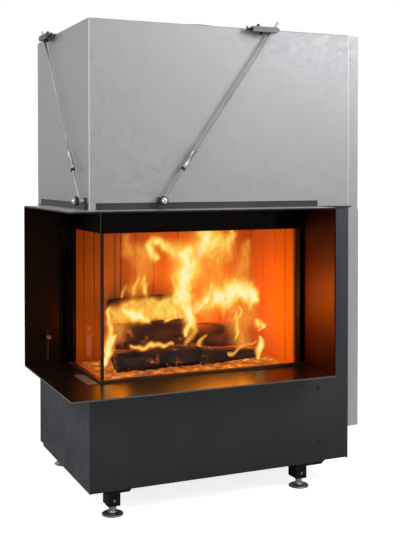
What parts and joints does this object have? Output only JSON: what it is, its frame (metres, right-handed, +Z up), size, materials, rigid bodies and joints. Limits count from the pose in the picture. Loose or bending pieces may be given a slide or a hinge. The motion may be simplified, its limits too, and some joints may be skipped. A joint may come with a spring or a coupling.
{
  "type": "fireplace insert",
  "caption": "Corner fireplace insert with a glazed lift door, galvanised upper housing, shadow frame, black base on levelling feet, flue outlet and air control.",
  "frame": {"origin": "middle of the footprint's box, on the floor", "axes": "+Z up, -Y towards the front pane, -X towards the side pane"},
  "size_m": [1.062, 0.788, 1.56],
  "materials": {
    "galvanised": "galvanised sheet, faintly mottled",
    "frame_black": "heat-resistant black, satin",
    "flange_steel": "dark bare steel",
    "base_anthracite": "anthracite, smooth satin",
    "raw_steel": "bare steel",
    "bright_steel": "bright plated",
    "fireclay": "fireclay, matt and grooved",
    "pane_glass": "clear ceramic glass",
    "door_black": "heat-resistant black, satin",
    "rope_seal": "woven glass rope",
    "cable_steel": "stranded wire",
    "weight_iron": "rough bar",
    "pulley_black": "turned, dark",
    "knob_black": "moulded black",
    "plate_aluminium": "bare, without lettering"
  },
  "bodies": {
    "insert": {"housing_front_sheet": "galvanised", "housing_left_sheet": "galvanised", "housing_right_sheet": "galvanised", "housing_rear_sheet": "galvanised", "housing_top_sheet": "galvanised", "weight_casing": "galvanised", "frame_top_plate": "frame_black", "frame_ledge": "frame_black", "frame_right_reveal": "frame_black", "frame_rear_panel": "frame_black", "firebox_walls": "frame_black", "firebox_lintels": "frame_black", "smoke_dome": "frame_black", "firebox_deck": "frame_black", "edge_flanges": "flange_steel", "foot_brackets": "flange_steel", "guide_rails": "flange_steel", "pulley_hangers": "flange_steel", "base_front_panel": "base_anthracite", "base_left_panel": "base_anthracite", "base_right_panel": "base_anthracite", "base_rear_panel": "base_anthracite", "base_floor_plate": "base_anthracite", "flue_collar": "raw_steel", "air_spigot": "raw_steel", "strut_clamps": "raw_steel", "body_screws": "raw_steel", "strut_rods": "bright_steel", "strut_bolts": "bright_steel", "fireclay_back_panels": "fireclay", "fireclay_right_panels": "fireclay", "fireclay_floor_bricks": "fireclay", "baffle_plates": "fireclay", "cables_door_side": "cable_steel", "cables_weight_side": "cable_steel", "cables_over_pulleys": "cable_steel", "strut_knobs": "knob_black", "clamp_screws": "knob_black", "blank_plate": "plate_aluminium"},
    "door": {"door_front_glass": "pane_glass", "door_side_glass": "pane_glass", "door_bottom_rails": "door_black", "door_frame": "door_black", "door_seals": "rope_seal", "door_carriages": "raw_steel"},
    "counterweight_right": {"counterweight_right": "weight_iron"},
    "counterweight_rear": {"counterweight_rear": "weight_iron"},
    "pulley_rear": {"pulley_rear": "pulley_black"},
    "pulley_right_inner": {"pulley_right_inner": "pulley_black"},
    "pulley_right_outer": {"pulley_right_outer": "pulley_black"},
    "foot_front_left": {"foot_front_left": "raw_steel"},
    "foot_front_right": {"foot_front_right": "raw_steel"},
    "foot_rear_left": {"foot_rear_left": "raw_steel"},
    "foot_rear_right": {"foot_rear_right": "raw_steel"},
    "air_control": {"air_knob": "bright_steel", "air_slider": "raw_steel"},
    "air_flap": {"air_flap": "raw_steel"},
    "sleeve_front": {"strut_sleeve_front": "bright_steel"},
    "sleeve_left": {"strut_sleeve_left": "bright_steel"}
  },
  "joints": [
    {"name": "door_lift", "type": "slide", "parent": "insert", "child": "door", "axis": [0, 0, 1], "range_m": [0, 0.46], "deforming": ["cables_door_side"]},
    {"name": "weight_right", "type": "slide", "parent": "insert", "child": "counterweight_right", "axis": [0, 0, -1], "range_m": [0, 0.46]},
    {"name": "weight_rear", "type": "slide", "parent": "insert", "child": "counterweight_rear", "axis": [0, 0, -1], "range_m": [0, 0.46], "deforming": ["cables_weight_side"]},
    {"name": "pulley_rear_spin", "type": "hinge", "parent": "insert", "child": "pulley_rear", "pos_m": [-0.393, 0.222, 1.462], "axis": [1, 0, 0], "continuous": true},
    {"name": "pulley_right_inner_spin", "type": "hinge", "parent": "insert", "child": "pulley_right_inner", "pos_m": [0.391, -0.177, 1.462], "axis": [0, 1, 0], "continuous": true},
    {"name": "pulley_right_outer_spin", "type": "hinge", "parent": "insert", "child": "pulley_right_outer", "pos_m": [0.4785, -0.177, 1.462], "axis": [0, 1, 0], "continuous": true},
    {"name": "air_knob_slide", "type": "slide", "parent": "insert", "child": "air_control", "axis": [0, 0, 1], "range_m": [-0.074, 0.016]},
    {"name": "air_flap_turn", "type": "hinge", "parent": "insert", "child": "air_flap", "pos_m": [-0.304, 0.2399, 0.25], "axis": [1, 0, 0], "range_deg": [-16.4, 75.5]},
    {"name": "sleeve_front_turn", "type": "hinge", "parent": "insert", "child": "sleeve_front", "pos_m": [-0.207, -0.286, 0.97], "axis": [0.5738, 0, 0.819], "continuous": true},
    {"name": "sleeve_left_turn", "type": "hinge", "parent": "insert", "child": "sleeve_left", "pos_m": [-0.457, -0.232, 0.97], "axis": [0, 0.6141, 0.7892], "continuous": true},
    {"name": "foot_front_left_screw", "type": "slide", "parent": "insert", "child": "foot_front_left", "axis": [0, 0, -1], "range_m": [0, 0.03]},
    {"name": "foot_front_right_screw", "type": "slide", "parent": "insert", "child": "foot_front_right", "axis": [0, 0, -1], "range_m": [0, 0.03]},
    {"name": "foot_rear_left_screw", "type": "slide", "parent": "insert", "child": "foot_rear_left", "axis": [0, 0, -1], "range_m": [0, 0.03]},
    {"name": "foot_rear_right_screw", "type": "slide", "parent": "insert", "child": "foot_rear_right", "axis": [0, 0, -1], "range_m": [0, 0.03]}
  ],
  "couplings": [
    {"joint": "weight_right", "follows": "door_lift", "ratio": 1},
    {"joint": "weight_rear", "follows": "door_lift", "ratio": 1},
    {"joint": "pulley_rear_spin", "follows": "door_lift", "rad_per_m": -23.256},
    {"joint": "pulley_right_inner_spin", "follows": "door_lift", "rad_per_m": 40},
    {"joint": "pulley_right_outer_spin", "follows": "door_lift", "rad_per_m": 40},
    {"joint": "air_flap_turn", "follows": "air_knob_slide", "rad_per_m": -17.778}
  ]
}
